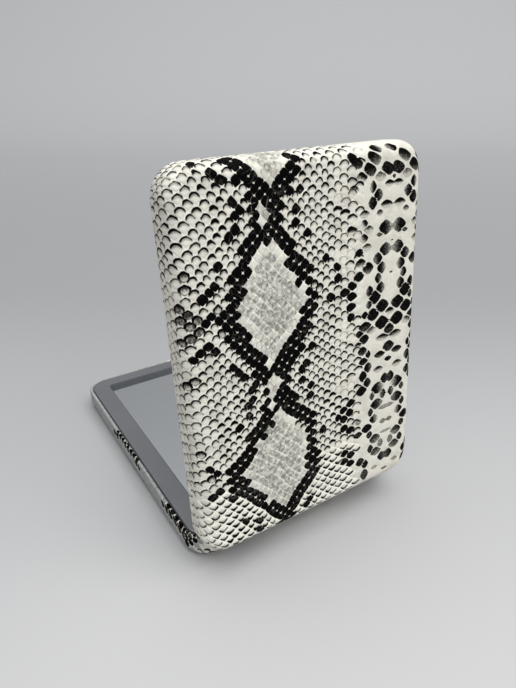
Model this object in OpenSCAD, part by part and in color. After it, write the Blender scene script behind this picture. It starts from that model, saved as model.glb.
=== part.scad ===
// Folding pocket mirror: two leather-covered leaves on a two-knuckle-group hinge.
// The base leaf lies flat with its leather underside on z = 0 and its mirror facing up.
// The cover leaf is the same leaf turned over and swung open about the hinge axis.
// Origin: centre of the base leaf's underside. +Z is up, and the hinge lies along X at the -Y end.

/* [Leaves] */
// Width of a leaf, along the hinge
leaf_w = 62; // [54:1:76]
// Length of a leaf, from hinge end to free end
leaf_l = 85; // [72:1:105]
// Thickness of one leaf
leaf_t = 7; // [6.6:0.1:9]
// Corner radius of a leaf, seen from above
leaf_corner_r = 6.5; // [5:0.5:10]
// Rounding between the outer face and the side walls
leaf_edge_r = 3; // [2.2:0.1:3.4]
// Angle between the two mirrors in the resting pose
open_angle = 84; // [0:1:180]

/* [Leather] */
// Thickness of the printed leather with its backing
leather_t = 1; // [0.7:0.05:1.2]
// Width of the shadow line between the leather and the silver frame
seam_gap = 0.12; // [0.05:0.01:0.3]

/* [Tray] */
// Thickness of the tray's floor
tray_floor_t = 1; // [0.8:0.05:1.2]
// Thickness of the tray's outer wall
tray_wall_t = 1.2; // [0.8:0.05:1.3]
// Rounding under the tray's outer edge
tray_edge_r = 0.8; // [0.5:0.05:1]
// Thickness of the wall around the mirror
pocket_wall_t = 0.8; // [0.6:0.05:1]
// Thickness of a cross rib
rib_t = 0.8; // [0.5:0.1:1.5]
// Cross ribs along each long side
side_ribs = 6; // [2:1:10]
// Cross ribs along each short end
end_ribs = 3; // [1:1:6]

/* [Frame] */
// Thickness of the silver frame's flange
frame_t = 1.5; // [1.2:0.05:1.7]
// Mirror opening's distance from the leaf's long sides
opening_inset_x = 6.8; // [6.4:0.1:9]
// Mirror opening's distance from the leaf's short ends
opening_inset_y = 5.8; // [5.4:0.1:9]
// Corner radius of the mirror opening
opening_r = 1; // [0.5:0.1:3]
// Bevel around the mirror opening
opening_bevel = 0.3; // [0.1:0.05:0.6]
// Rounding of the frame's outer top edge
frame_edge_r = 0.4; // [0.2:0.05:0.8]
// Depth of the locating rib under the flange
lip_h = 1; // [0.5:0.1:1.5]
// Thickness of the locating rib
lip_t = 0.7; // [0.4:0.05:0.9]

/* [Mirror] */
// Thickness of the mirror glass
mirror_t = 1.6; // [1.2:0.05:1.9]
// How far the mirror reaches under the frame
mirror_overlap = 1.2; // [0.6:0.1:1.4]
// Corner radius of the mirror glass
mirror_r = 1.5; // [0.5:0.1:3]
// Thickness of the adhesive pad behind the mirror
pad_t = 0.7; // [0.4:0.05:0.9]
// Margin of bare glass around the adhesive pad
pad_margin = 3; // [1:0.5:8]

/* [Hinge] */
// Radius of a knuckle
knuckle_r = 1.7; // [1.5:0.05:1.9]
// Radius of the hinge pin
pin_r = 0.7; // [0.5:0.05:0.8]
// Distance between the middles of the two knuckle groups
hinge_spacing = 34; // [24:1:40]
// Length of one knuckle group
group_l = 14; // [12:0.5:16]
// Length of each outer knuckle, carried by the base
end_knuckle_l = 4; // [3:0.25:4.5]
// Thickness of the arm that carries a knuckle
arm_t = 1.1; // [0.8:0.05:1.3]

/* [Magnets] */
// Length of a bar magnet
magnet_l = 8; // [5:0.5:12]
// Width of a bar magnet
magnet_w = 1.9; // [1.4:0.1:2]
// Height of a bar magnet
magnet_h = 1.9; // [1.2:0.1:2]
// Distance from the free end to the magnets' outer ends
magnet_inset = 11; // [9:0.5:20]

/* [Clearances] */
// Gap between the two closed leaves
rim_gap = 0.4; // [0.3:0.05:0.8]
// Distance from the hinge axis to a leaf's end wall
end_gap = 0.4; // [0.35:0.05:0.8]
// Gap around a knuckle that turns inside the other leaf
turn_gap = 0.3; // [0.25:0.05:0.5]
// Gap between neighbouring knuckles
side_gap = 0.3; // [0.2:0.05:0.5]
// Radial gap where a knuckle turns on its pin
running_gap = 0.05; // [0.02:0.01:0.1]
// Radial gap where a pin is pressed in
press_gap = 0.01; // [0.01:0.005:0.02]
// Gap around parts that drop into a pocket
pocket_gap = 0.15; // [0.1:0.01:0.25]
// Gap between a locating rib and the wall it finds
lip_gap = 0.06; // [0.05:0.01:0.12]

/* [Hidden] */
// What is left for the foam between the leather and the tray
foam_t = leaf_t - leather_t - tray_floor_t - pad_t - mirror_t - frame_t;
// Heights in a leaf, measured from its leather outer face
tray_z = leather_t + foam_t;
pad_z = tray_z + tray_floor_t;
mirror_z = pad_z + pad_t;
flange_z = leaf_t - frame_t;
// Hinge axis, in the base leaf's frame
hinge_y = -leaf_l / 2 - end_gap;
hinge_z = leaf_t + rim_gap / 2;
// Sizes that follow from the opening and the pocket
opening_w = leaf_w - 2 * opening_inset_x;
opening_l = leaf_l - 2 * opening_inset_y;
mirror_w = opening_w + 2 * mirror_overlap;
mirror_l = opening_l + 2 * mirror_overlap;
pocket_w = mirror_w + 2 * pocket_gap;
pocket_l = mirror_l + 2 * pocket_gap;
tray_w = leaf_w - 2 * leather_t;
tray_l = leaf_l - 2 * leather_t;
tray_r = leaf_corner_r - leather_t;
well_w = tray_w - 2 * tray_wall_t;
well_l = tray_l - 2 * tray_wall_t;
well_r = tray_r - tray_wall_t;
// Channel between the tray's wall and the mirror pocket
side_channel_x = (well_w + pocket_w + 2 * pocket_wall_t) / 4;
side_channel_w = (well_w - pocket_w) / 2 - pocket_wall_t;
end_channel_w = (well_l - pocket_l) / 2 - pocket_wall_t;
rib_top_z = flange_z - lip_h - pocket_gap;
// The frame's outline
frame_w = tray_w - 2 * seam_gap;
frame_l = tray_l - 2 * seam_gap;
frame_r = tray_r - seam_gap;
// Middle knuckle and the space that it turns in
middle_knuckle_l = group_l - 2 * end_knuckle_l - 2 * side_gap;
clear_r = knuckle_r + turn_gap;
// Magnets, at the free end of the side channels
magnet_y = leaf_l / 2 - magnet_inset - magnet_l / 2;
// Overrun of cutting shapes
cut = 1;
// Facets of true arcs, and of the small hulls
$fn = 72;
hull_fn = 32;

// Upright slab with round corners, standing on z0
module slab(w, l, r, z0, h) {
    translate([0, 0, z0])
        linear_extrude(height = h)
            round_rect(w, l, r);
}

// Rectangle with round corners, made of squares and circles so that its arcs stay true
module round_rect(w, l, r) {
    square([w - 2 * r, l], center = true);
    square([w, l - 2 * r], center = true);
    for (sx = [-1, 1])
        for (sy = [-1, 1])
            translate([sx * (w / 2 - r), sy * (l / 2 - r)])
                circle(r);
}

// Carries a wall section round a rectangle with round corners.
// The section's x is the distance out from the corner's centre line, and its y is the height.
module sweep_round(w, l, r) {
    run_x = w - 2 * r;
    run_y = l - 2 * r;
    for (turn = [0 : 3]) {
        along = turn % 2 == 0 ? run_y : run_x;
        across = turn % 2 == 0 ? run_x : run_y;
        rotate([0, 0, 90 * turn]) {
            translate([across / 2, along / 2, 0])
                rotate([90, 0, 0])
                    linear_extrude(height = along)
                        children();
            translate([across / 2, along / 2, 0])
                rotate_extrude(angle = 90)
                    children();
        }
    }
}

// Section of a pan whose lower outer edge is rounded, from the corner's centre line out
module pan_section(r, z0, z1, edge_r) {
    translate([0, z0])
        square([r - edge_r, z1 - z0]);
    translate([0, z0 + edge_r])
        square([r, z1 - z0 - edge_r]);
    translate([r - edge_r, z0 + edge_r])
        circle(edge_r);
}

// Solid pan with round corners and a rounded lower edge
module pan(w, l, r, z0, z1, edge_r) {
    slab(w - 2 * r, l - 2 * r, 0, z0, z1 - z0);
    sweep_round(w, l, r)
        pan_section(r, z0, z1, edge_r);
}

// Section of the leather's wall, with its top edge rounded over
module leather_section() {
    inner_r = leaf_corner_r - leather_t;
    lip_r = leather_t / 2;
    difference() {
        pan_section(leaf_corner_r, 0, leaf_t - lip_r, leaf_edge_r);
        pan_section(inner_r, leather_t, leaf_t + cut, leaf_edge_r - leather_t);
        translate([-cut, leather_t])
            square([cut + inner_r - leaf_edge_r + leather_t, leaf_t]);
    }
    translate([inner_r + lip_r, leaf_t - lip_r])
        circle(lip_r);
}

// Windows in the leather's end wall, where the knuckles and their arms pass
module hinge_windows() {
    for (side = [-1, 1])
        translate([side * hinge_spacing / 2, hinge_y, hinge_z])
            translate([-group_l / 2 - side_gap, -cut, -clear_r])
                cube([group_l + 2 * side_gap, cut + end_gap + leather_t + seam_gap, clear_r + cut]);
}

// Space about the hinge axis that the other leaf's knuckles turn in
module turning_space(middle) {
    for (side = [-1, 1])
        translate([side * hinge_spacing / 2, hinge_y, hinge_z])
            for (place = middle ? [0] : [-1, 1]) {
                width = middle ? middle_knuckle_l + 2 * side_gap : end_knuckle_l + side_gap + cut;
                shift = middle ? 0 : place * (middle_knuckle_l / 2 + width / 2);
                translate([shift - width / 2, 0, 0])
                    rotate([0, 90, 0])
                        cylinder(r = clear_r, h = width);
            }
}

// One knuckle with its arm back to the flange, centred on the hinge axis
module knuckle(width) {
    rotate([0, 90, 0])
        cylinder(r = knuckle_r, h = width, center = true);
    translate([-width / 2, 0, -rim_gap / 2 - arm_t])
        cube([width, end_gap + leather_t + seam_gap + frame_edge_r + clear_r - end_gap, arm_t]);
}

// Knuckles of one leaf: the middle one of each group, or the two outer ones
module knuckles(middle) {
    for (side = [-1, 1])
        translate([side * hinge_spacing / 2, hinge_y, hinge_z])
            if (middle)
                knuckle(middle_knuckle_l);
            else
                for (end = [-1, 1])
                    translate([end * (group_l - end_knuckle_l) / 2, 0, 0])
                        knuckle(end_knuckle_l);
}

// Pin holes along the hinge axis
module pin_holes(r) {
    for (side = [-1, 1])
        translate([side * hinge_spacing / 2, hinge_y, hinge_z])
            rotate([0, 90, 0])
                cylinder(r = r, h = group_l + 2 * cut, center = true);
}

// Leather skin of one leaf: outer face, rolled edge and side walls
module leaf_leather() {
    difference() {
        union() {
            slab(leaf_w - 2 * leaf_corner_r, leaf_l - 2 * leaf_corner_r, 0, 0, leather_t);
            sweep_round(leaf_w, leaf_l, leaf_corner_r)
                leather_section();
        }
        hinge_windows();
    }
}

// Foam sheet that pads the outer face
module leaf_foam() {
    slab(leaf_w - 2 * leaf_edge_r, leaf_l - 2 * leaf_edge_r, leaf_corner_r - leaf_edge_r,
        leather_t, foam_t);
}

// Ribs that cross the channel between the tray's wall and the mirror pocket
module tray_ribs() {
    rib_h = rib_top_z - pad_z + tray_floor_t / 2;
    for (k = [1 : side_ribs])
        for (side = [-1, 1])
            translate([side * side_channel_x, pocket_l * (k / (side_ribs + 1) - 1 / 2), 0])
                translate([-side_channel_w / 2 - pocket_wall_t / 2, -rib_t / 2, rib_top_z - rib_h])
                    cube([side_channel_w + pocket_wall_t, rib_t, rib_h]);
    for (k = [1 : end_ribs])
        for (end = [-1, 1])
            translate([pocket_w * (k / (end_ribs + 1) - 1 / 2), end * (well_l - end_channel_w) / 2, 0])
                translate([-rib_t / 2, -end_channel_w / 2 - pocket_wall_t / 2, rib_top_z - rib_h])
                    cube([rib_t, end_channel_w + pocket_wall_t, rib_h]);
}

// Moulded tray: outer wall, wall around the mirror, and ribs between them
module leaf_tray() {
    difference() {
        union() {
            difference() {
                pan(tray_w, tray_l, tray_r, tray_z, flange_z, tray_edge_r);
                slab(well_w, well_l, well_r, pad_z, leaf_t);
            }
            slab(pocket_w + 2 * pocket_wall_t, pocket_l + 2 * pocket_wall_t,
                mirror_r + pocket_wall_t, tray_z + tray_floor_t / 2, flange_z - tray_z - tray_floor_t / 2);
            tray_ribs();
        }
        slab(pocket_w, pocket_l, mirror_r, pad_z, leaf_t);
        magnet_spaces(pocket_gap, 0);
    }
}

// Boxes that hold the bar magnets, widened by gap and raised by rise
module magnet_spaces(gap, rise) {
    for (side = [-1, 1])
        translate([side * side_channel_x, magnet_y, pad_z])
            translate([-magnet_w / 2 - gap, -magnet_l / 2 - gap, 0])
                cube([magnet_w + 2 * gap, magnet_l + 2 * gap, magnet_h + gap + rise]);
}

// Adhesive pad behind the mirror
module leaf_mirror_pad() {
    slab(mirror_w - 2 * pad_margin, mirror_l - 2 * pad_margin, mirror_r, pad_z, pad_t);
}

// Mirror glass
module leaf_mirror() {
    slab(mirror_w, mirror_l, mirror_r, mirror_z, mirror_t);
}

// Section of the frame's outer edge, rounded at the top
module flange_section() {
    square_r = frame_r - frame_edge_r;
    translate([0, flange_z])
        square([frame_r, frame_t - frame_edge_r]);
    translate([0, flange_z])
        square([square_r, frame_t]);
    translate([square_r, leaf_t - frame_edge_r])
        circle(frame_edge_r);
}

// Mirror opening with its bevel
module opening_cutter() {
    slab(opening_w, opening_l, opening_r, flange_z - cut, frame_t + 2 * cut);
    hull() {
        translate([0, 0, leaf_t - opening_bevel])
            linear_extrude(height = opening_bevel / 2)
                round_rect(opening_w, opening_l, opening_r, $fn = hull_fn);
        translate([0, 0, leaf_t + opening_bevel / 2])
            linear_extrude(height = opening_bevel)
                round_rect(opening_w + 3 * opening_bevel, opening_l + 3 * opening_bevel,
                    opening_r + 3 * opening_bevel / 2, $fn = hull_fn);
    }
}

// Locating rib under the flange, just inside the tray's wall, with a break at each magnet
module locating_lip() {
    lip_w = well_w - 2 * lip_gap;
    lip_l = well_l - 2 * lip_gap;
    lip_r = well_r - lip_gap;
    difference() {
        slab(lip_w, lip_l, lip_r, flange_z - lip_h, lip_h + frame_t / 2);
        slab(lip_w - 2 * lip_t, lip_l - 2 * lip_t, lip_r - lip_t, flange_z - lip_h - cut, lip_h + cut);
        magnet_spaces(2 * pocket_gap, lip_h + cut);
    }
}

// Silver frame with its knuckles; middle says which knuckles this leaf carries
module leaf_frame(middle) {
    difference() {
        union() {
            difference() {
                union() {
                    slab(frame_w - 2 * frame_r, frame_l - 2 * frame_r, 0, flange_z, frame_t);
                    sweep_round(frame_w, frame_l, frame_r)
                        flange_section();
                    locating_lip();
                }
                opening_cutter();
                turning_space(!middle);
            }
            knuckles(middle);
        }
        pin_holes(middle ? pin_r + running_gap : pin_r + press_gap);
    }
}

// One bar magnet; side is -1 on the left and 1 on the right
module leaf_magnet(side) {
    translate([side * side_channel_x, magnet_y, pad_z])
        translate([-magnet_w / 2, -magnet_l / 2, 0])
            cube([magnet_w, magnet_l, magnet_h]);
}

// Puts a leaf's piece on the cover: turned over on to the base, then swung open
module on_cover() {
    translate([0, hinge_y, hinge_z])
        rotate([open_angle, 0, 0])
            mirror([0, 0, 1])
                translate([0, -hinge_y, -hinge_z])
                    children();
}

module base_leather() { color("ivory") leaf_leather(); }
module base_foam() { color("gainsboro") leaf_foam(); }
module base_tray() { color("dimgray") leaf_tray(); }
module base_mirror_pad() { color("white") leaf_mirror_pad(); }
module base_mirror() { color("lightsteelblue") leaf_mirror(); }
module base_frame() { color("silver") leaf_frame(false); }
module base_magnet_left() { color("slategray") leaf_magnet(-1); }
module base_magnet_right() { color("slategray") leaf_magnet(1); }

// Steel pin through one knuckle group
module hinge_pin(side) {
    color("gray")
        translate([side * hinge_spacing / 2, hinge_y, hinge_z])
            rotate([0, 90, 0])
                cylinder(r = pin_r, h = group_l, center = true);
}
module hinge_pin_left() { hinge_pin(-1); }
module hinge_pin_right() { hinge_pin(1); }

module cover_leather() { color("ivory") on_cover() leaf_leather(); }
module cover_foam() { color("gainsboro") on_cover() leaf_foam(); }
module cover_tray() { color("dimgray") on_cover() leaf_tray(); }
module cover_mirror_pad() { color("white") on_cover() leaf_mirror_pad(); }
module cover_mirror() { color("lightsteelblue") on_cover() leaf_mirror(); }
module cover_frame() { color("silver") on_cover() leaf_frame(true); }
module cover_magnet_left() { color("slategray") on_cover() leaf_magnet(-1); }
module cover_magnet_right() { color("slategray") on_cover() leaf_magnet(1); }

base_leather();
base_foam();
base_tray();
base_mirror_pad();
base_mirror();
base_frame();
base_magnet_left();
base_magnet_right();
hinge_pin_left();
hinge_pin_right();
cover_leather();
cover_foam();
cover_tray();
cover_mirror_pad();
cover_mirror();
cover_frame();
cover_magnet_left();
cover_magnet_right();
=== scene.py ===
# %% [markdown]
# # A folding pocket mirror in snake-print leather
# Two slim leaves open on a hinge. Each one is a tray wrapped in embossed, printed leather,
# with a satin silver frame and a mirror inside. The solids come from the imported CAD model;
# Blender adds the looks: the scales, their print, the metals, the glass and soft light.
# Lengths below are in millimetres, as on a maker's drawing, and MM turns them into metres.

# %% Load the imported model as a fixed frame
import math

import bpy
import numpy as np
from mathutils import Matrix, Vector


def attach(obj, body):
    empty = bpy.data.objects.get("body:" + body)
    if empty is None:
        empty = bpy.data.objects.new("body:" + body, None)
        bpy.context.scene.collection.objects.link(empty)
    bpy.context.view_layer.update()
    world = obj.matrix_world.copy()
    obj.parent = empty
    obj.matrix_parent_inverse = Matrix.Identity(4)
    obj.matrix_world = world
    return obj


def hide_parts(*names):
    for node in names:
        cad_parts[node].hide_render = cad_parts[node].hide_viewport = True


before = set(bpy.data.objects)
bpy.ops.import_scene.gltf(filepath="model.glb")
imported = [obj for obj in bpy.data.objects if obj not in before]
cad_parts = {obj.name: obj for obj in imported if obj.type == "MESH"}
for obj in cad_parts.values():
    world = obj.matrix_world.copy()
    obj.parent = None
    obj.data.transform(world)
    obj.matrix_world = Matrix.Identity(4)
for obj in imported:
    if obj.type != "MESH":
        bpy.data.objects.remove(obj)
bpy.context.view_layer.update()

MM = 0.001
bpy.ops.object.select_all(action="DESELECT")

# %% [markdown]
# ## Camera
# The picture was taken from above the hinge end, on the left. A pinhole camera was fitted to
# the outline of the leaves, so the camera has the place, direction and lens of that fit.
# Blender's 36 mm sensor lies along the picture's long side.

# %% Camera
CAMERA_PLACE = Vector((-66.99, -128.23, 109.24)) * MM
CAMERA_LOOK = Vector((0.47055, 0.74767, -0.46859))
CAMERA_ROLL = math.radians(-0.17)
CAMERA_LENS = 28.81

bpy.ops.object.camera_add(location=CAMERA_PLACE)
camera = bpy.context.object
camera.name = "camera"
turn = CAMERA_LOOK.to_track_quat("-Z", "Y").to_matrix().to_4x4()
turn = turn @ Matrix.Rotation(CAMERA_ROLL, 4, "Z")
camera.matrix_world = Matrix.Translation(CAMERA_PLACE) @ turn
camera.data.lens = CAMERA_LENS
camera.data.clip_start = 5 * MM
bpy.context.scene.camera = camera
print("camera looks along", [round(x, 3) for x in turn @ Vector((0, 0, -1))])

# %% [markdown]
# ## Sizes that the looks share with the solids
# A leaf lies with its leather face down on z = 0, and its hinge end at -Y. These are the
# values of the CAD source. The cover is the same leaf, turned over and swung open.

# %% Leaf sizes
LEAF_W, LEAF_L, LEAF_T = 62.0, 85.0, 7.0
LEAF_CORNER, LEAF_EDGE = 6.5, 3.0
LEATHER_T, FOAM_T = 1.0, 1.2
HINGE_Y, HINGE_Z = -LEAF_L / 2 - 0.4, LEAF_T + 0.2
OPEN_ANGLE = math.radians(84)
HINGE_SPACING, GROUP_L, SIDE_GAP, TURN_R = 34.0, 14.0, 0.3, 2.0

# %% [markdown]
# ## A small kit for materials
# Every finish below is a node tree. With this kit one short call adds one node, so that a
# formula for a pattern reads like a formula.

# %% Nodes of a finish
class Nodes:
    """A material's node tree. A value fed to a node is a number, a colour or another node."""

    def __init__(self, name):
        self.material = bpy.data.materials.new(name)
        self.material.use_nodes = True
        self.tree = self.material.node_tree
        self.surface = self.tree.nodes["Principled BSDF"]

    def add(self, kind, inputs=(), **settings):
        node = self.tree.nodes.new("ShaderNode" + kind)
        for key, value in settings.items():
            setattr(node, key, value)
        for key, value in dict(inputs).items():
            self.feed(node.inputs[key], value)
        return node

    def feed(self, socket, value):
        if isinstance(value, bpy.types.NodeSocket):
            self.tree.links.new(value, socket)
        else:
            socket.default_value = (*value, 1) if socket.type == "RGBA" else value

    def set(self, **sockets):
        """Feeds the surface itself, such as its Base_Color or Roughness."""
        for key, value in sockets.items():
            self.feed(self.surface.inputs[key.replace("_", " ")], value)


# %% Arithmetic and patterns of a finish
class Finish(Nodes):
    """The calls that the formulas are written with."""

    def calc(self, operation, *values, clamp=False):
        node = self.add("Math", enumerate(values), operation=operation, use_clamp=clamp)
        return node.outputs[0]

    def plus(self, first, second):
        return self.calc("ADD", first, second)

    def less(self, first, second, clamp=False):
        return self.calc("SUBTRACT", first, second, clamp=clamp)

    def times(self, first, *others, clamp=False):
        for other in others:
            first = self.calc("MULTIPLY", first, other, clamp=clamp)
        return first

    def larger(self, first, *others):
        for other in others:
            first = self.calc("MAXIMUM", first, other)
        return first

    def scaled(self, value, factor, start):
        """start where the value is 0, and factor more where it is 1."""
        return self.calc("MULTIPLY_ADD", value, factor, start)

    def step(self, value, low, high):
        """0 below low, 1 above high, smooth between them."""
        inputs = {"Value": value, "From Min": low, "From Max": high}
        return self.add("MapRange", inputs, interpolation_type="SMOOTHSTEP").outputs["Result"]

    def fall(self, value, low, high):
        """1 below low, 0 above high, smooth between them."""
        return self.less(1.0, self.step(value, low, high))

    def blend(self, share, first, second):
        """Colour between first and second."""
        return self.add("Mix", {0: share, 6: first, 7: second}, data_type="RGBA").outputs[2]

    def place(self):
        return self.add("TexCoord").outputs["Object"]

    def along(self, vector, direction):
        inputs = {0: vector, 1: direction}
        return self.add("VectorMath", inputs, operation="DOT_PRODUCT").outputs["Value"]

    def noise(self, vector, scale, detail=2.0, roughness=0.5):
        inputs = {"Vector": vector, "Scale": scale, "Detail": detail, "Roughness": roughness}
        return self.add("TexNoise", inputs).outputs[0]

    def cells(self, vector, scale, feature="F1"):
        inputs = {"Vector": vector, "Scale": scale}
        return self.add("TexVoronoi", inputs, feature=feature).outputs["Distance"]

    def fact(self, name):
        """A number stored on the piece's faces or points."""
        return self.add("Attribute", attribute_name=name).outputs["Fac"]

    def facts(self, name):
        """Three numbers stored on the piece's faces."""
        stored = self.add("Attribute", attribute_name=name).outputs["Vector"]
        return self.add("SeparateXYZ", {0: stored}).outputs

    def bump(self, height, distance, under=None):
        inputs = {"Height": height, "Distance": distance, "Strength": 1.0}
        if under is not None:
            inputs["Normal"] = under
        return self.add("Bump", inputs).outputs[0]


def dress(piece, finish):
    """Gives a piece this material in place of its own."""
    piece.data.materials.clear()
    piece.data.materials.append(finish)


# %% [markdown]
# ## How the scales lie
# Embossed snake leather has scales in columns, each column shifted by half a scale against the
# next, so four scales meet at a point. Counted in half scales, across and along, the centres
# are whole numbers. The columns are narrow on the back of the snake and widen towards the
# belly, so the count across the skin is a smooth function of the real place, and back.

# %% Scale lattice
# half the distance between two rows, and the line along the belly where the skin repeats
ROW, BELLY = 1.22, 21.9
# half the distance between two columns, at a few places between the back and the belly line
COLUMN_PLACES = [-48, -31, -27, -23, -18, -13, -9, -5, 0, 4, 8, 12, 15, BELLY]
COLUMN_HALVES = [2.0, 1.8, 1.6, 1.4, 1.28, 1.1, 1.1, 1.28, 1.4, 1.55, 1.9, 2.15, 2.3, 2.3]
# a column runs along the middle of the back
BACK = -11.0
# how far the lattice reaches on each side of the middle, counted in steps of 0.05
SKIN_REACH = 48

across = np.linspace(-SKIN_REACH, SKIN_REACH, 40 * SKIN_REACH + 1)
folded = np.where(across > BELLY, 2 * BELLY - across, across)
half = np.interp(folded, COLUMN_PLACES, COLUMN_HALVES)
count = np.concatenate([[0], np.cumsum((1 / half[1:] + 1 / half[:-1]) / 2 * np.diff(across))])
count -= np.interp(BACK, across, count)


def sag(u, v):
    """The rows climb towards the left side: in one step near the top, ever steeper lower down."""
    top = np.clip((v - 20) / 10, 0, 1)
    ramp = np.clip((-12 - u) / 8, 0, 1)
    out = np.clip(-14 - u, 0, None)
    slope = 0.08 + 0.16 * np.clip((10 - v) / 22, 0, 1)
    low = 0.013 * np.minimum(out, 9) ** 2 + slope * np.clip(out - 9, 0, None)
    return top * 1.35 * ramp ** 2 * (3 - 2 * ramp) + (1 - top) * low


def swell(x, middle, width):
    """A smooth hump of height 1."""
    return np.exp(-((x - middle) / width) ** 2)


def wander(u, v):
    """How far the hide has been pulled out of line, sideways and lengthways."""
    side = 0.28 * np.sin(0.31 * v + 1.3) * np.cos(0.19 * u + 0.4)
    side = side + 0.15 * np.sin(0.7 * v + 0.5 * u)
    long = 0.30 * np.sin(0.27 * u + 0.6) * np.cos(0.23 * v + 2.0)
    long = long + 0.12 * np.sin(0.8 * u - 0.4 * v)
    left = np.clip((-16 - u) / 8, 0, 1)
    side = side + left * (0.72 * swell(v, 11, 14) - 1.2 * swell(v, 44, 9))
    long = long - 0.8 * swell(v, 20.5, 5) * swell(u, -18.5, 5)
    return side, long


def placed(a, b):
    """Place on the skin of a lattice count."""
    u0 = np.interp(a, count, across)
    v0 = b * ROW + sag(u0, b * ROW)
    u, v = u0, v0
    # the pull depends on the place, so it is found in a few rounds
    for _ in range(4):
        side, long = wander(u, v)
        u, v = u0 + side, v0 + long
    return u, v


print("columns across the skin", round(float(np.ptp(count))), "half scales")

# %% [markdown]
# ## What the print looks like
# The print is the common python one. Chains of black scales run in zigzags and close round
# pale diamonds on the back; shorter chains branch off on the flanks; the belly has big spots in
# mirrored pairs. Each chain is a line drawn on the skin, and a scale whose centre lies near
# a line is inked whole. That keeps every edge on the scales, as in a real hide.

# %% Chains and diamonds of the print
# half width of a chain, then the points that it runs through (across, along), in mm
CHAINS = [
    (1.7, [(-17.6, 42.5), (-14.3, 38.8), (-11.3, 35.6), (-9, 33)]),
    (1.2, [(-6, 42.6), (-3.8, 41), (-4.8, 39.7), (-6.9, 37.6), (-7.8, 35.6)]),
    (1.4, [(-8.4, 36.1), (-5.8, 36.1)]),
    (1.0, [(-14.2, 35.4), (-13.4, 33), (-12.8, 30)]),
    (1.3, [(-8.3, 34.5), (-8.6, 32), (-9.4, 30)]),
    (1.6, [(-12.5, 28.6), (-8.6, 28.9)]),
    (1.8, [(-12.8, 28.6), (-15.6, 25), (-17.6, 21), (-19.4, 17), (-20.3, 13.5), (-19.6, 9.5)]),
    (2.1, [(-19.4, 9.6), (-17.1, 5.4), (-14.8, 1.9), (-14.2, -0.8)]),
    (1.2, [(-14, -0.8), (-13.7, -2.8)]),
    (1.2, [(-4.7, 2.1), (-6.3, 0.5), (-8.1, -1)]),
    (1.9, [(-8.9, 29.4), (-7.4, 27), (-5.8, 24), (-4, 20.7), (-2.4, 17.8)]),
    (1.25, [(-1.8, 17.6), (-0.9, 14.5), (-0.8, 12.4)]),
    (1.8, [(-1.2, 11.6), (-2.8, 8.2), (-5, 5.2), (-7.4, 2.4), (-9.8, -0.2), (-12.2, -1.2)]),
    (1.0, [(-8.2, -3.4), (-9.2, -6.4), (-8.4, -8.3)]),
    (1.7, [(-13.7, -8.7), (-13.3, -11)]),
    (2.2, [(-14, -12.4), (-16.2, -14.2)]),
    (1.55, [(-16.2, -14.4), (-19.6, -18), (-22.2, -20)]),
    (1.1, [(-22.6, -20), (-23.8, -21.4)]),
    (1.2, [(-18.4, -17.4), (-17.7, -19.4)]),
    (1.9, [(-20.9, -20.6), (-21.2, -24), (-19.6, -27.4), (-17.9, -30.2)]),
    (1.75, [(-17.9, -30.2), (-15.1, -34), (-12.4, -36.8), (-9.4, -39.2)]),
    (1.8, [(-8.8, -8.2), (-5.8, -11.6), (-3, -14.8), (-1.4, -17.4)]),
    (2.0, [(-1.5, -17.6), (-2.1, -24), (-1.8, -30)]),
    (2.1, [(-1.9, -30.5), (-5, -34.2), (-7.8, -37.8)]),
    (1.7, [(-8.4, -38.6), (-8.6, -43), (-6.5, -50)]),
    (1.0, [(-10, -40.4), (-13.4, -46)]),
]
# pale diamonds between the chains, corner by corner
DIAMONDS = [
    [(-14.2, 43.5), (-9.6, 37.4), (-5.4, 43.5), (-9, 50)],
    [(-12, 35), (-12.9, 32.6), (-11, 29.8), (-9.5, 32.4)],
    [(-11.2, 27), (-18.6, 14.6), (-11.4, 1.6), (-1.8, 13.6)],
    [(-11.6, -2.8), (-13, -5), (-11.6, -8), (-10, -5)],
    [(-11.6, -9.6), (-20.4, -22.4), (-17, -28.4), (-9.8, -37.2), (-3.8, -30.6), (-3.8, -19)],
]

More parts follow.
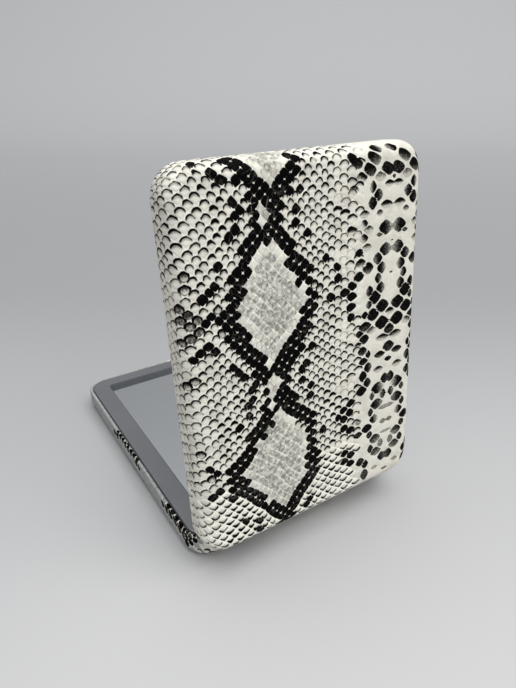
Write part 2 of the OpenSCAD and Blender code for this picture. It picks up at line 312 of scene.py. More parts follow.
# %% Single scales of the print
# scales on the flanks that are inked whole
SINGLES = [
    (-24.4, 42.2), (-17.5, 39.2), (-21.3, 40.3), (-20.1, 39.4), (-18.4, 35.7), (-17.3, 34.2),
    (-18, 32.4), (-17.6, 30.6), (-18.7, 29.5), (-24, 19.4), (-25.6, 18.3), (-21.4, 24),
    (-22.6, 20.5), (-24.1, 14.4), (-25.5, 13.4), (-22.5, 13), (-22.4, 10.5), (-28.9, 6.8),
    (-27.2, 7.7), (-25.4, 8.6), (-23.9, 7.2), (-21.3, 2.6), (-20, 1.3), (-18.4, -0.2),
    (-17.4, -3.8), (-16.2, -5.3), (-17.5, -6.5), (-17.4, -8.6), (-20.1, -11), (-13.9, -5.3),
    (-28.2, -18.4), (-26.2, -20.2), (-28.2, -26.2), (-26.6, -25.6), (-20.7, -35),
    (-17.9, -37.4), (-17.7, -39.6), (-4.8, 39.7), (-3, 36), (-3.8, 32.4), (-3.9, 30),
    (-1.2, 27.4), (-3.2, -37.6), (-3.2, -39.2), (-11.5, 27), (-9.7, 27.8), (-23.9, -23.4),
    (-23.9, -25.6), (-22.3, -27.6), (3, 21.5), (6, 19.3), (6, 16.9), (4.2, 12.8), (7.5, 12.4),
    (9.9, 13.6), (9.6, 10.9), (9.5, 8.1), (9.4, 5.5), (9.5, 40.3), (10.7, -14.9), (8.3, -16),
    (6.2, -19.4), (10.7, -18), (8.4, -18.9), (2.6, -19.3), (7.9, -21.9), (10.2, -24),
    (7.7, -28.5), (10.5, -29.8), (8.2, -31.8), (10.5, -32.7), (-4.6, -2.6), (-3.4, -1.3),
    (-4.7, -5), (-1.8, 1.9), (-11.2, -6.8), (-10, -8.3), (-11.2, -9.3), (-7, -6.6), (-4.9, -9),
    (-2.3, -7.3), (-2.4, -9.5),
]
# scales on the left flank that are inked as rings
RINGS = [
    (-29.6, 23.9), (-29.5, 21.1), (-30.7, 17.7), (-30.7, 15.4), (-29.4, 16.2), (-27.3, 14.7),
    (-29.3, 13.7), (-27.3, 12.5), (-29.4, 11.5), (-30.9, 10.6), (-29.3, 3), (-30.5, 2),
    (-22.4, 15.5), (-22.4, 10.5), (-28.2, -21.3), (1.5, 15.7), (0, 16.8), (-29.8, -13.6),
]
# scales whose crescents are thick caps
CAPS = [
    (-24.2, 41), (-23.9, 38.7), (-22.2, 37.4), (-20.9, 36.1), (-22.2, 34.6), (-21.6, 32.4),
    (-20.2, 31.1), (-21.5, 29.5), (-22.9, 28.6), (-21.5, 27.1), (-22.7, 25.7), (-21.3, -2.2),
    (-21.2, -4.6), (-19.9, -5.9), (-22.9, -7.9), (-24.5, -9), (-21.6, -9.5), (-22.9, -10.3),
    (-24.5, -11.6), (-23.3, -12.9), (-21.9, -13.7), (-23.3, -15.4), (-24.6, -16.3), (8.4, 32.8),
    (6.4, 31.2), (8.1, 29.8), (10.3, 28.4), (8.1, 27), (10.3, 25.5), (-0.7, -1.2), (-2.9, 1.2),
    (-2, 37.6), (-1.8, 35), (0.2, 24.2), (2.1, 41.4), (3.5, 39), (4.5, -8), (3.6, -10),
    (5.6, -12), (3.4, -12.8), (5.4, -14.3), (2.4, -14.8), (4.8, -16.3), (6.2, -16.8),
    (7.6, -26.4), (5, -25.2), (5.9, -28), (3.9, -28.3), (1.1, -27.7), (4.2, -32),
]

# %% Belly spots of the print
# distance from the belly line, place along it, half width, half height, how strong the ink
# is, how far it fades towards the belly line, and towards the hinge end (0 if left out)
SPOTS = [
    (2.1, 41.6, 1.3, 0.9, 1, 0.7), (4.3, 39.6, 1.5, 1.3, 1, 0.2, 0.3), (1.5, 37.2, 1.6, 1.25, 0.9),
    (6.5, 37.4, 1.45, 1.25, 1, 0, 0.2), (9.4, 39, 1.3, 1.1, 1, 0, 0.2),
    (3.9, 35.7, 1.3, 0.9, 0.45, 0, 0.7), (0, 35.5, 0.45, 0.45, 0.8),
    (1.3, 34.1, 1.2, 0.65, 1, 0, 0.8), (9.1, 36, 1.3, 1, 1, -0.4, 0.6),
    (6, 33.8, 0.85, 1.15, 1, -0.8), (11.3, 33.7, 1.2, 0.9, 0.6, 0, 0.8),
    (4.4, 32, 1.1, 1.15, 1, 0.5), (6, 30.5, 1.1, 1.25, 1, -0.3), (1.95, 29.8, 1.5, 0.8, 1, 0, 0.8),
    (3.9, 28.2, 0.8, 0.6, 0.7, 0, 0.5), (8.3, 28.4, 1.2, 0.8, 0.6, 0, 0.9),
    (8.3, 26.4, 0.9, 0.9, 1, -0.9, 0.3), (11.6, 25.4, 1.3, 0.8, 1, 0, 0.8),
    (2, 24.8, 1.75, 1.4, 0.95, 0.6), (3.8, 23.5, 0.8, 0.45, 0.7), (7, 25, 1.2, 0.8, 0.5, 0, 0.9),
    (8.3, 23.3, 1, 0.9, 1, -0.7, 0.4), (7.4, 21.2, 1.2, 0.8, 0.55, 0, 0.9),
    (0, 21.6, 0.35, 0.35, 0.7), (1.9, 20, 1.5, 1.3, 0.85, 0.5), (9.6, 20.4, 1.05, 0.8, 1),
    (4.2, 18.2, 1.2, 1.2, 0.95, -0.5), (9.2, 18, 1.35, 0.9, 0.9, 0, 0.5),
    (7, 16.5, 1.4, 1.2, 1, 0, 0.3), (2.95, 15.9, 1.15, 1.25, 1, 0.7), (9.6, 15.1, 1.3, 1, 1),
    (3.9, 13.7, 0.9, 1.1, 1, 0.6), (0, 14.4, 0.4, 0.35, 0.7), (3.1, 11.25, 1.1, 1.3, 1, 0.6),
    (6.4, 11, 0.95, 1.2, 1, -0.5), (4.75, 9.3, 1.6, 1.45, 1), (6.5, 7.9, 0.8, 0.9, 0.9, -0.5),
    (2.4, 6.75, 1.75, 1.4, 1, 0.15), (5.2, 5.2, 1.65, 1.35, 1), (0, 4.95, 1.2, 0.85, 1, 0, 0.9),
    (7.7, 5.6, 0.9, 0.8, 1), (2.45, 2.6, 1.8, 1.45, 1), (7.6, 2.8, 1.65, 1.05, 1, 0, 0.2),
    (5.6, 1.5, 1.35, 0.85, 0.7, 0.6, 0.6), (9.2, 1.4, 1.1, 0.9, 1, -0.2),
    (0, 0.4, 1.4, 1.3, 0.95, 0, 0.15), (2.1, -1.2, 1.8, 0.8, 0.85, -0.3, 0.6),
    (7.8, -0.2, 1.3, 1.1, 1, 0, 0.1), (9.6, -1.4, 1, 0.8, 0.8, 0, 0.8),
    (0, -4, 1.6, 1.25, 0.9, 0, 0.1), (8.3, -3.2, 1.25, 1, 0.95, 0, 0.2),
    (6.5, -4.5, 0.7, 0.95, 1, -0.1), (2.75, -5.5, 1.5, 0.8, 1, 0, 0.3),
    (7.9, -5.9, 1.25, 0.85, 1, 0, 0.1), (0, -7.3, 1, 0.6, 0.9), (6.5, -7.9, 1.05, 1.25, 1, 0.4),
    (3.1, -9.4, 1.4, 0.8, 0.65, 0, 0.9), (8, -9.8, 1.1, 1.3, 1), (6.6, -11.9, 1.05, 1.15, 1, 0.3),
    (1, -12.4, 1.05, 1.3, 0.9, 0.2), (8.4, -13.6, 1.45, 1.2, 1),
    (3.05, -14.4, 1.85, 1.4, 0.95, 0.8), (4.9, -16.2, 0.7, 1, 0.7),
    (1.4, -16.5, 0.85, 1.25, 0.8, -0.4), (3.35, -18.8, 1.7, 1.3, 0.9, 0.4),
    (0.9, -20.4, 1.6, 0.55, 0.4), (5.3, -20.6, 0.75, 1.05, 0.85), (9.2, -22, 0.9, 0.7, 0.4),
    (4.1, -22.8, 1.25, 1.1, 0.9, 0.8), (6.4, -24.8, 1.5, 1.1, 1), (1.1, -24.5, 0.9, 0.6, 0.5),
    (9.3, -25.7, 1.3, 0.8, 0.9), (5.5, -27, 0.85, 1, 0.8), (0.5, -27.7, 1.4, 0.35, 0.35),
    (3.6, -28.8, 1.55, 1.2, 0.8, 0.2, 0.2), (5.1, -31.4, 0.85, 1.1, 0.85),
    (1.7, -30.8, 0.85, 1.2, 0.5), (3.2, -32.8, 1.6, 1.1, 0.75, 0.2, 0.2),
    (1.1, -35, 1.2, 1.2, 0.85, 0.3), (8.5, -34, 1.25, 1.05, 0.9), (6.8, -35.3, 0.95, 1.15, 0.95),
    (3.5, -37.6, 1, 0.5, 0.35), (7, -38.4, 1.15, 1.5, 0.75), (0, -39.2, 1, 0.4, 0.5),
]
print(len(CHAINS), "chains,", len(DIAMONDS), "diamonds,", len(SINGLES), "single scales,",
      len(RINGS), "rings,", len(CAPS), "caps,", len(SPOTS), "belly spots")


# %% Reading the drawing at a place on the skin
FAR = 1e9


def off_line(u, v, points):
    """Distance from a line through the points."""
    nearest = np.full(np.shape(u), FAR)
    for (a, b), (c, d) in zip(points[:-1], points[1:]):
        along = ((u - a) * (c - a) + (v - b) * (d - b)) / ((c - a) ** 2 + (d - b) ** 2)
        along = np.clip(along, 0, 1)
        nearest = np.minimum(nearest, np.hypot(u - a - along * (c - a), v - b - along * (d - b)))
    return nearest


def in_outline(u, v, corners):
    """Distance inside a closed outline, negative outside it."""
    within = np.zeros(np.shape(u), bool)
    for (a, b), (c, d) in zip(corners, corners[1:] + corners[:1]):
        if b != d:
            within ^= ((b > v) != (d > v)) & (u < (c - a) * (v - b) / (d - b) + a)
    distance = off_line(u, v, corners + corners[:1])
    return np.where(within, distance, -distance)


def luck(a, b, draw):
    """A repeatable number from 0 to 1 for each scale, another one for each draw."""
    mixed = np.sin(a * 127.1 + b * 311.7 + draw * 74.7) * 43758.5453
    return mixed - np.floor(mixed)


def mirrored(u):
    """Past the belly line the skin repeats, turned round."""
    return np.where(u > BELLY, 2 * BELLY - u, u)


def mark(marked, u, v, point):
    """Marks the scale nearest to a point of the drawing, on both sides of the belly line."""
    side = mirrored(u)
    for half in (u <= BELLY, u > BELLY):
        # a scale that is marked already, or lies on the other side, is put out of reach
        distance = np.hypot((side - point[0]) / 1.3, v - point[1]) + 9 * (marked | ~half)
        nearest = distance.argmin()
        marked[nearest] |= distance[nearest] < 1.4


def marked_scales(points, u, v):
    marked = np.zeros(u.shape, bool)
    for point in points:
        mark(marked, u, v, point)
    return marked


# %% [markdown]
# Luck decides the rest: the ragged edge of a chain, and how strong and thick each crescent is.
# Crescents fade round the left edge of the cover. Low down they lie at the other end of their
# scales, and are stronger.

# %% Ink of each scale
# below this the crescents lie at the scales' lower ends
LOW = -26
# a ring is a crescent of this strength, and a plain place is this pale: its grey is partly the
# print's and partly painted shade
RING, PLAIN_SHADED = 2.0, 1.6
# the belly's own spots lie this near its line
SPOTTED = 9.4


def inked_whole(a, b, u, v, shift, extra):
    """Scales near the line of a chain, single ones, and those of this leaf's extra patches."""
    side = mirrored(u)
    inside = np.full(u.shape, -9.0)
    for width, points in CHAINS:
        inside = np.maximum(inside, width - off_line(side, v, points))
    black = inside + 0.6 * (luck(a, b, 1) - 0.5) > 0.05
    for point in SINGLES:
        mark(black, u, v, point)
    for width, points in extra:
        black |= off_line(u, v - shift, points) < width
    return black


def in_diamond(u, v):
    """How far each scale is inside a pale diamond, from 0 at its border to 1."""
    inside = np.full(u.shape, -99.0)
    for corners in DIAMONDS:
        inside = np.maximum(inside, in_outline(mirrored(u), v, corners))
    return np.clip((inside + 0.9) / 2.4, 0, 1)


def crescent_strength(a, b, u, v):
    strength = 0.72 + 0.55 * luck(a, b, 3) + 0.25 * np.sin(0.5 * u + 1) * np.sin(0.4 * v)
    strength -= 0.45 * ((mirrored(u) > 6) & (luck(a, b, 5) < 0.45))
    left_edge = np.interp(u, [-36, -32, -28.5, -24], [0.3, 0.42, 0.72, 1])
    strength *= left_edge ** np.interp(v, [20, 27], [1, 0.4])
    strength += 0.35 * np.clip((-25 - v) / 3, 0, 1)
    low_left = np.clip((-26 - u) / 3, 0, 1) * np.clip((-25 - v) / 4, 0, 1)
    return strength * (1 - 0.5 * low_left)


def crescent_thickness(a, b, u, v, ring, cap):
    thick = np.where(cap, 0.97, 0.8 * luck(a, b, 2))
    thick = np.where(v < LOW, 0.45 + 0.5 * thick, thick)
    low_left = (v < LOW - 1) & (u > -26) & (u < -16)
    full_ring = ring & (mirrored(u) < -26.5) & (np.abs(v - 14) < 4)
    return np.where(low_left | full_ring, 1, thick)


def plain_wall_shade(u, v, shift):
    """1 on the left wall, and on the free end's wall towards the left, where no scale shows. There
    a plain grey is painted, partly the print's grey and partly painted shade.
    """
    end = np.clip(v - shift - 41, 0, 1) * np.clip((10 - u) / 14, 0, 1)
    return np.maximum(np.clip((-29.5 - u) / 2, 0, 1), end)


# %% Facts of each scale
def facts_of(a, b, shift, extra):
    """For scales counted a, b: the half width of the ink blot that fills each one, or 0; how
    grey it is as part of a diamond; how strong and how thick its crescent is; and its place
    along the print."""
    u, v = placed(a, b)
    v = v + shift
    black = inked_whole(a, b, u, v, shift, extra)
    pale = in_diamond(u, v) * ~black
    ring, cap = marked_scales(RINGS, u, v), marked_scales(CAPS, u, v)
    pitch = np.interp(mirrored(u), COLUMN_PLACES, COLUMN_HALVES)
    blot = np.where(black & ~ring, np.clip(0.98 / pitch ** 0.6, 0.6, 0.86), 0)
    crescent = crescent_strength(a, b, u, v)
    if extra:
        # the plain grey of the walls is partly print and partly painted shade, with no crescents
        # there
        wall_shade = plain_wall_shade(u, v, shift) * ~black
        crescent, pale = crescent * (1 - wall_shade), np.maximum(pale, PLAIN_SHADED * wall_shade)
    faint = 0.2 * (luck(a, b, 4) < 0.35)
    crescent = np.where(pale > 0, faint, np.clip(crescent, 0.15, 1))
    crescent = np.where(ring, RING, crescent)
    off_belly = np.abs(u - BELLY) >= SPOTTED + 1.6 * (luck(a, b, 6) - 0.4)
    thick = crescent_thickness(a, b, u, v, ring, cap)
    return blot * off_belly, pale * off_belly, crescent * off_belly, thick, v


# %% [markdown]
# A belly spot is a rounded diamond: its edge is where the powers of the two distances from its
# middle, counted in its half sizes, add up to 1. Near the free end the belly line bends away.

# %% Belly spots at a place on the skin
# the power of the rounded diamonds, and how much larger they are than they were measured
SPOT_POWER, SPOT_SPREAD = 1.5, 1.16


def spots_at(u, v, shift, owner):
    """Place in the spot that owns each point, counted in its half widths, and its ink there."""
    rows = np.array([(*spot, 0, 0)[:7] for spot in SPOTS])[owner]
    bent = np.clip(v + shift - 36, 0, 6)
    line = BELLY - bent * (0.2 + 0.055 * bent)
    x = (np.abs(u - line) - rows[..., 0]) / (SPOT_SPREAD * rows[..., 2])
    y = (v + shift - rows[..., 1]) / (SPOT_SPREAD * rows[..., 3])
    out, free = rows[..., 5], rows[..., 6]
    faded = 0.95 * out * x + 1.6 * free * y - 0.25 * np.abs(out) - 0.45 * np.abs(free)
    return np.stack([x, y, rows[..., 4] * (1 + faded)], axis=-1)


def nearest_spot(u, v, shift):
    """Distance to the nearest spot, which one it is, and how much farther the next one is."""
    nearest, owner = np.full(u.shape, FAR), np.zeros(u.shape, int)
    second = nearest
    for i in range(len(SPOTS)):
        x, y, _ = np.moveaxis(spots_at(u, v, shift, np.full(u.shape, i)), -1, 0)
        size = min(SPOTS[i][2:4])
        far = (np.abs(x) ** SPOT_POWER + np.abs(y) ** SPOT_POWER) ** (1 / SPOT_POWER)
        away = (far - 1) * size
        owner = np.where(away < nearest, i, owner)
        second = np.minimum(second, np.maximum(nearest, away))
        nearest = np.minimum(nearest, away)
    return nearest, owner, second - nearest


# %% [markdown]
# ## The leather skin of a leaf
# The leather is one sheet: flat on the outer face, bent round the edge, up the wall, rolled
# over the rim and down inside. A grid primitive is the sheet, with one square to a scale and
# six faces across each square. It is laid on the skin's lattice, trimmed where it would run
# past the rim, wrapped round the leaf, and embossed. Then its border is extruded inwards to
# give the leather its backing, so that the piece is a closed solid.

# %% Wrapping a place on the sheet round the leaf
CORE_W, CORE_L, CORE_R = LEAF_W / 2 - LEAF_EDGE, LEAF_L / 2 - LEAF_EDGE, LEAF_CORNER - LEAF_EDGE
ROLL_R = LEATHER_T / 2
BEND_END = LEAF_EDGE * math.pi / 2
WALL_END = BEND_END + LEAF_T - ROLL_R - LEAF_EDGE
ROLL_END = WALL_END + ROLL_R * math.pi


def beyond_core(u, v):
    """Distance outside the flat middle of the face, and the direction outwards."""
    x, y = np.abs(u) - (CORE_W - CORE_R), np.abs(v) - (CORE_L - CORE_R)
    px, py = np.maximum(x, 0), np.maximum(y, 0)
    length = np.hypot(px, py)
    far = length + np.minimum(np.maximum(x, y), 0) - CORE_R
    safe = np.maximum(length, 1e-9)
    return far, np.sign(u) * px / safe, np.sign(v) * py / safe


def wrapped(u, v, lift):
    """Place in the leaf, in mm, of a place on the sheet that is raised by lift."""
    far, nx, ny = beyond_core(u, v)
    out = np.clip(far, 0, None)
    bend = np.clip(out, 0, BEND_END) / LEAF_EDGE
    wall = np.clip(out, BEND_END, WALL_END) - BEND_END
    roll = np.clip(out - WALL_END, 0, math.pi * ROLL_R) / ROLL_R
    inner = np.clip(out - ROLL_END, 0, None)
    side = LEAF_EDGE * np.sin(bend) - ROLL_R * (1 - np.cos(roll))
    height = LEAF_EDGE * (1 - np.cos(bend)) + wall + ROLL_R * np.sin(roll) - inner
    tilt = bend + roll
    side, height = side + lift * np.sin(tilt), height - lift * np.cos(tilt)
    return np.stack([u + nx * (side - out), v + ny * (side - out), height], axis=-1)


print("the sheet reaches", round(ROLL_END, 2), "mm past the flat of the face")

# %% Helpers for a mesh's points, edges and corners
def points_of(mesh):
    points = np.empty(len(mesh.vertices) * 3)
    mesh.vertices.foreach_get("co", points)
    return points.reshape(-1, 3)


def set_points(mesh, points):
    mesh.vertices.foreach_set("co", np.asarray(points, float).ravel())
    mesh.update()


def ends_of(mesh):
    """The two points of each edge."""
    ends = np.empty(len(mesh.edges) * 2, int)
    mesh.edges.foreach_get("vertices", ends)
    return ends.reshape(-1, 2)


def corners_of(mesh):
    """The points at the corners of the faces, which all have four."""
    corners = np.empty(len(mesh.polygons) * 4, int)
    mesh.polygons.foreach_get("vertices", corners)
    return corners


def store(mesh, name, kind, domain, values):
    """Writes a fact on each corner or point, for the finish to read."""
    layer = mesh.attributes.new(name, kind, domain)
    key = "vector" if kind == "FLOAT_VECTOR" else "value"
    layer.data.foreach_set(key, values.astype(np.float32).ravel())


# %% Helpers for edit mode
def start_edit(piece):
    bpy.ops.object.select_all(action="DESELECT")
    bpy.context.view_layer.objects.active = piece
    piece.select_set(True)
    bpy.ops.object.mode_set(mode="EDIT")


def end_edit():
    bpy.ops.object.mode_set(mode="OBJECT")


def choose(piece, kind, chosen):
    """Selects these edges or faces in edit mode, and no others."""
    start_edit(piece)
    bpy.ops.mesh.select_mode(type=kind)
    bpy.ops.mesh.select_all(action="DESELECT")
    end_edit()
    parts = piece.data.edges if kind == "EDGE" else piece.data.polygons
    parts.foreach_set("select", chosen)
    start_edit(piece)


# %% Laying a grid on the lattice
# faces across each scale, and scales on each side of the middle one
FACES, REACH = 6, 36
SQUARES = 2 * REACH + 1
# where the six faces of a scale meet: narrow ones along the groove
STATIONS = [-0.5, -0.43, -0.24, 0.0, 0.24, 0.43, 0.5]
# how far the corners of the scales are pulled out of line, in mm
UNEVEN = 0.09


def grid_places(mesh):
    """Places of the grid's points, in scales. Dividing first leaves no rounding."""
    return np.round(points_of(mesh)[:, :2] * FACES) / FACES


def lay(grid, uneven):
    """Skin place of the grid's points, and their place counted in scales."""
    cell = np.floor(grid + 0.5)
    part = np.interp(grid - cell, np.linspace(-0.5, 0.5, FACES + 1), STATIONS)
    p, q = (cell + part).T
    k = (cell + REACH).astype(int)
    f = part + 0.5
    pulled = 0
    for i in (0, 1):
        for j in (0, 1):
            share = np.abs(1 - i - f[:, 0]) * np.abs(1 - j - f[:, 1])
            pulled = pulled + share[:, None] * uneven[k[:, 0] + i, k[:, 1] + j]
    u, v = placed(p + q, p - q)
    return np.stack([u, v], axis=1) + pulled, np.stack([p, q], axis=1)


def start_sheet(name, uneven):
    """A grid with a square for each scale, without the faces that would lie past the rim."""
    bpy.ops.object.select_all(action="DESELECT")
    faces = SQUARES * FACES
    bpy.ops.mesh.primitive_grid_add(x_subdivisions=faces, y_subdivisions=faces, size=SQUARES)
    sheet = bpy.context.object
    sheet.name = sheet.data.name = name
    mesh = sheet.data
    far = beyond_core(*lay(grid_places(mesh), uneven)[0].T)[0]
    past_rim = far[corners_of(mesh).reshape(-1, 4)].max(axis=1) > ROLL_END + 0.12
    choose(sheet, "FACE", past_rim)
    bpy.ops.mesh.delete(type="FACE")
    end_edit()
    return sheet


# %% [markdown]
# The finish has to know, at every place of a face, which scale it is on and what is printed
# there. A UV map has two numbers and would run on from scale to scale. Attributes stored at the
# face corners are better here, because they may jump from one scale to the next.

# %% Storing the print on the sheet
# beyond these distances from the belly line and from a spot's edge there is no spot
BELLY_REACH, SPOT_REACH = 13.2, 0.7
NO_SPOT = (9, 9, 0)


def store_scales(mesh, grid, places, counts, shift, extra):
    """Stores the place in the scale, and the scale's facts."""
    corners = corners_of(mesh)
    middle = grid[corners.reshape(-1, 4)].mean(axis=1)
    cell = np.repeat(np.floor(middle + 0.5), 4, axis=0)
    p, q = (counts[corners] - cell).T
    a, b = cell[:, 0] + cell[:, 1], cell[:, 0] - cell[:, 1]
    scales, owner = np.unique(np.stack([a, b], axis=1), axis=0, return_inverse=True)
    owner = owner.ravel()
    a, b = scales.T
    black, pale, crescent, thick, height = facts_of(a, b, shift, extra)
    turned = np.where((height < LOW) & (pale == 0), -1.0, 1.0)[owner]
    scale = np.stack([p + q, (p - q) * turned, thick[owner]], axis=1)
    tone = np.stack([black, pale, crescent], axis=1)[owner]
    upright = (places[corners][:, 1] - placed(a, b)[1][owner]) / ROW * turned
    store(mesh, "scale", "FLOAT_VECTOR", "CORNER", scale)
    store(mesh, "tone", "FLOAT_VECTOR", "CORNER", tone)
    store(mesh, "upright", "FLOAT", "CORNER", upright)
    print(len(scales), "scales,", int((black > 0).sum()), "inked whole,",
          int((crescent == RING).sum()), "rings")


def store_spots(mesh, places, shift):
    """Stores the place in the nearest belly spot, and the ink there."""
    corners = corners_of(mesh)
    middle = places[corners.reshape(-1, 4)].mean(axis=1)
    nearest, owner, _ = nearest_spot(*middle.T, shift)
    spot = spots_at(*places[corners].T, shift, np.repeat(owner, 4))
    far_off = (np.abs(middle[:, 0] - BELLY) > BELLY_REACH) | (nearest > SPOT_REACH)
    spot[np.repeat(far_off, 4)] = NO_SPOT
    store(mesh, "spot", "FLOAT_VECTOR", "CORNER", spot)


# %% Embossing the sheet
# depth of the groove round a scale, and round a belly spot as a share of it
GROOVE, SPOT_GROOVE = 0.13, 0.7
# a dome's outline is a rounded diamond of this power, flat up to here and then falling
DOME_POWER, DOME_FLAT, DOME_FALL = 1.7, 0.62, 0.36
# how much higher a scale is at its free end
TILT = 0.14


def embossed(counts, places, far, shift):
    """Height of the skin, and how far the next belly spot is past the nearest one."""
    part = counts - np.floor(counts + 0.5)
    s, t = part[:, 0] + part[:, 1], part[:, 0] - part[:, 1]
    radius = (np.abs(s) ** DOME_POWER + np.abs(t) ** DOME_POWER) ** (1 / DOME_POWER)
    dome = 1 - np.clip((radius - DOME_FLAT) / DOME_FALL, 0, 1) ** 2
    dome *= np.abs(part).max(axis=1) < 0.47
    scales = GROOVE * (dome * (1 - TILT + TILT * t) - 1)
    nearest, _, gap = nearest_spot(*places.T, shift)
    spots = -SPOT_GROOVE * GROOVE * np.exp(-((nearest - 0.16) / 0.22) ** 2) - 0.02
    off_belly = np.abs(places[:, 0] - BELLY) - SPOTTED
    share = np.clip((off_belly + 1.2) / 1.6, 0, 1)
    on_wall = np.clip((WALL_END + 0.4 - far) / 0.8, 0, 1)
    return (scales * share + spots * (1 - share)) * on_wall, gap


def on_border(mesh):
    """True for the points of edges that only one face uses."""
    sides = np.empty(len(mesh.loops), int)
    mesh.loops.foreach_get("edge_index", sides)
    uses = np.bincount(sides, minlength=len(mesh.edges))
    border = np.zeros(len(mesh.vertices), bool)
    border[ends_of(mesh)[uses == 1]] = True
    return border


# %% Making the sheet
def make_sheet(name, seed, shift, extra):
    size = (SQUARES + 2, SQUARES + 2, 2)
    uneven = np.random.default_rng(seed).normal(0, UNEVEN, size)
    sheet = start_sheet(name, uneven)
    mesh = sheet.data
    grid = grid_places(mesh)
    places, counts = lay(grid, uneven)
    store_scales(mesh, grid, places, counts, shift, extra)
    store_spots(mesh, places, shift)
    far, nx, ny = beyond_core(*places.T)
    lift, gap = embossed(counts, places, far, shift)
    store(mesh, "gap", "FLOAT", "POINT", gap)
    # the border lies exactly where the roll ends
    pull = np.where(on_border(mesh), ROLL_END - far, 0)
    u, v = (places + pull[:, None] * np.stack([nx, ny], axis=1)).T
    set_points(mesh, wrapped(u, v, lift))
    print(name, len(mesh.polygons), "faces, embossed", round(float(-lift.min()), 2), "mm deep")
    return sheet


# %% [markdown]
# The inner side is drawn in from the rim: the border loop is extruded and moved, ring by ring,
# down the inside of the wall and round the inner edge, and the last loop is filled.

# %% Closing the leather
INNER_EDGE = LEAF_EDGE - LEATHER_T


def draw_ring(piece, side, height):
    """Extrudes the selected border loop and moves it to this distance from the core and height."""
    bpy.ops.mesh.extrude_region()
    end_edit()
    mesh = piece.data
    points = points_of(mesh)
    chosen = np.empty(len(points), bool)
    mesh.vertices.foreach_get("select", chosen)
    far, nx, ny = beyond_core(points[:, 0], points[:, 1])
    move = np.where(chosen, side - far, 0)
    points[:, 0] += nx * move
    points[:, 1] += ny * move
    points[chosen, 2] = height
    set_points(mesh, points)
    bpy.ops.object.mode_set(mode="EDIT")


def close_leather(piece):
    start_edit(piece)
    bpy.ops.mesh.select_mode(type="EDGE")
    bpy.ops.mesh.select_all(action="DESELECT")
    bpy.ops.mesh.select_non_manifold()
    for angle in (0, 30, 60, 90):
        bend = math.radians(angle)
        side = INNER_EDGE * math.cos(bend)
        draw_ring(piece, side, LEATHER_T + INNER_EDGE * (1 - math.sin(bend)))
    bpy.ops.mesh.edge_face_add()
    bpy.ops.mesh.select_all(action="SELECT")
    bpy.ops.mesh.normals_make_consistent(inside=False)
    end_edit()


# %% [markdown]
# The frame's knuckles stand out at the hinge end, so the end wall has a window for each group.
# A cube of the window's size is taken away from the leather. A bisect would cut right across.

# %% Cutting the hinge windows
def cut_windows(piece):
    """The knuckles and their arms pass the end wall in two windows."""
    half = GROUP_L / 2 + SIDE_GAP
    for middle in (-HINGE_SPACING / 2, HINGE_SPACING / 2):
        low = Vector((middle - half, HINGE_Y - 1, HINGE_Z - TURN_R))
        high = Vector((middle + half, -LEAF_L / 2 + LEATHER_T + 0.12, LEAF_T + 1))
        bpy.ops.mesh.primitive_cube_add(size=1, location=(low + high) / 2, scale=high - low)
        cutter = bpy.context.object
        bpy.ops.object.transform_apply(location=True, rotation=False, scale=True)
        bpy.ops.object.select_all(action="DESELECT")
        bpy.context.view_layer.objects.active = piece
        piece.select_set(True)
        cut = piece.modifiers.new("window", "BOOLEAN")
        cut.operation, cut.solver, cut.object = "DIFFERENCE", "EXACT", cutter
        bpy.ops.object.modifier_apply(modifier=cut.name)
        bpy.data.objects.remove(cutter)


# %% Putting a leaf's piece in place
def to_cover(points):
    """Turns a leaf's points over on to the base and swings them open about the hinge."""
    y, z = points[:, 1] - HINGE_Y, HINGE_Z - points[:, 2]
    c, s = math.cos(OPEN_ANGLE), math.sin(OPEN_ANGLE)
    return np.stack([points[:, 0], HINGE_Y + y * c - z * s, HINGE_Z + y * s + z * c], axis=1)


def seat(piece, cover):
    """Puts a leaf's piece where the leaf is, in metres, with its faces outwards."""
    points = points_of(piece.data)
    set_points(piece.data, (to_cover(points) if cover else points) * MM)
    start_edit(piece)
    bpy.ops.mesh.select_all(action="SELECT")
    bpy.ops.mesh.normals_make_consistent(inside=False)
    end_edit()


# %% Both skins
def make_leather(name, cover, seed, shift, extra=()):
    """shift is how far along the print lies on this leaf, and extra its own dark patches."""
    piece = make_sheet(name, seed, shift, extra)
    close_leather(piece)
    cut_windows(piece)
    seat(piece, cover)
    bpy.ops.object.shade_smooth_by_angle(angle=math.radians(50))
    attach(piece, "cover" if cover else "base")
    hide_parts("cover_leather" if cover else "base_leather")
    return piece


# dark patches on the base's left wall, drawn like the chains
WALL_PATCHES = [
    (1.3, [(-34.8, 12), (-36.4, 8.5), (-36.8, 3), (-36.2, -4), (-35.2, -7.5)]),
    (1.5, [(-34.6, -24.5), (-36.4, -28), (-36.6, -34)]),
    (2.2, [(-36.2, -34), (-34.6, -39), (-35.5, -43), (-33, -46.5)]),
]
cover_skin = make_leather("cover_skin", True, seed=11, shift=0)
base_skin = make_leather("base_skin", False, seed=23, shift=12, extra=WALL_PATCHES)

# %% [markdown]
# ## Finish of the leather
# The relief is real, and the ink is a formula on it. Each face knows where it lies in its
# scale, so every mark is a rounded outline that the formula fills, and grain makes its edge
# ragged as ink is on leather.

# %% Colours and patterns of the print
CREAM, BEIGE, GREY = (0.80, 0.785, 0.70), (0.38, 0.36, 0.315), (0.235, 0.235, 0.21)
# the wall grey is partly the print's grey and partly painted shade on the base's walls
WALL_GREY_AND_SHADE, RING_DULL = (0.355, 0.37, 0.365), (0.20, 0.18, 0.15)
INK, BROWN = (0.0016, 0.0015, 0.0014), (0.06, 0.045, 0.036)
# how fine the hide's patterns are, counted in features per metre
PORES, FINEST, SMUDGES, CRINKLES, SCUFFS, CRACKS, WRINKLES = 900, 2600, 260, 1150, 75, 520, 1100


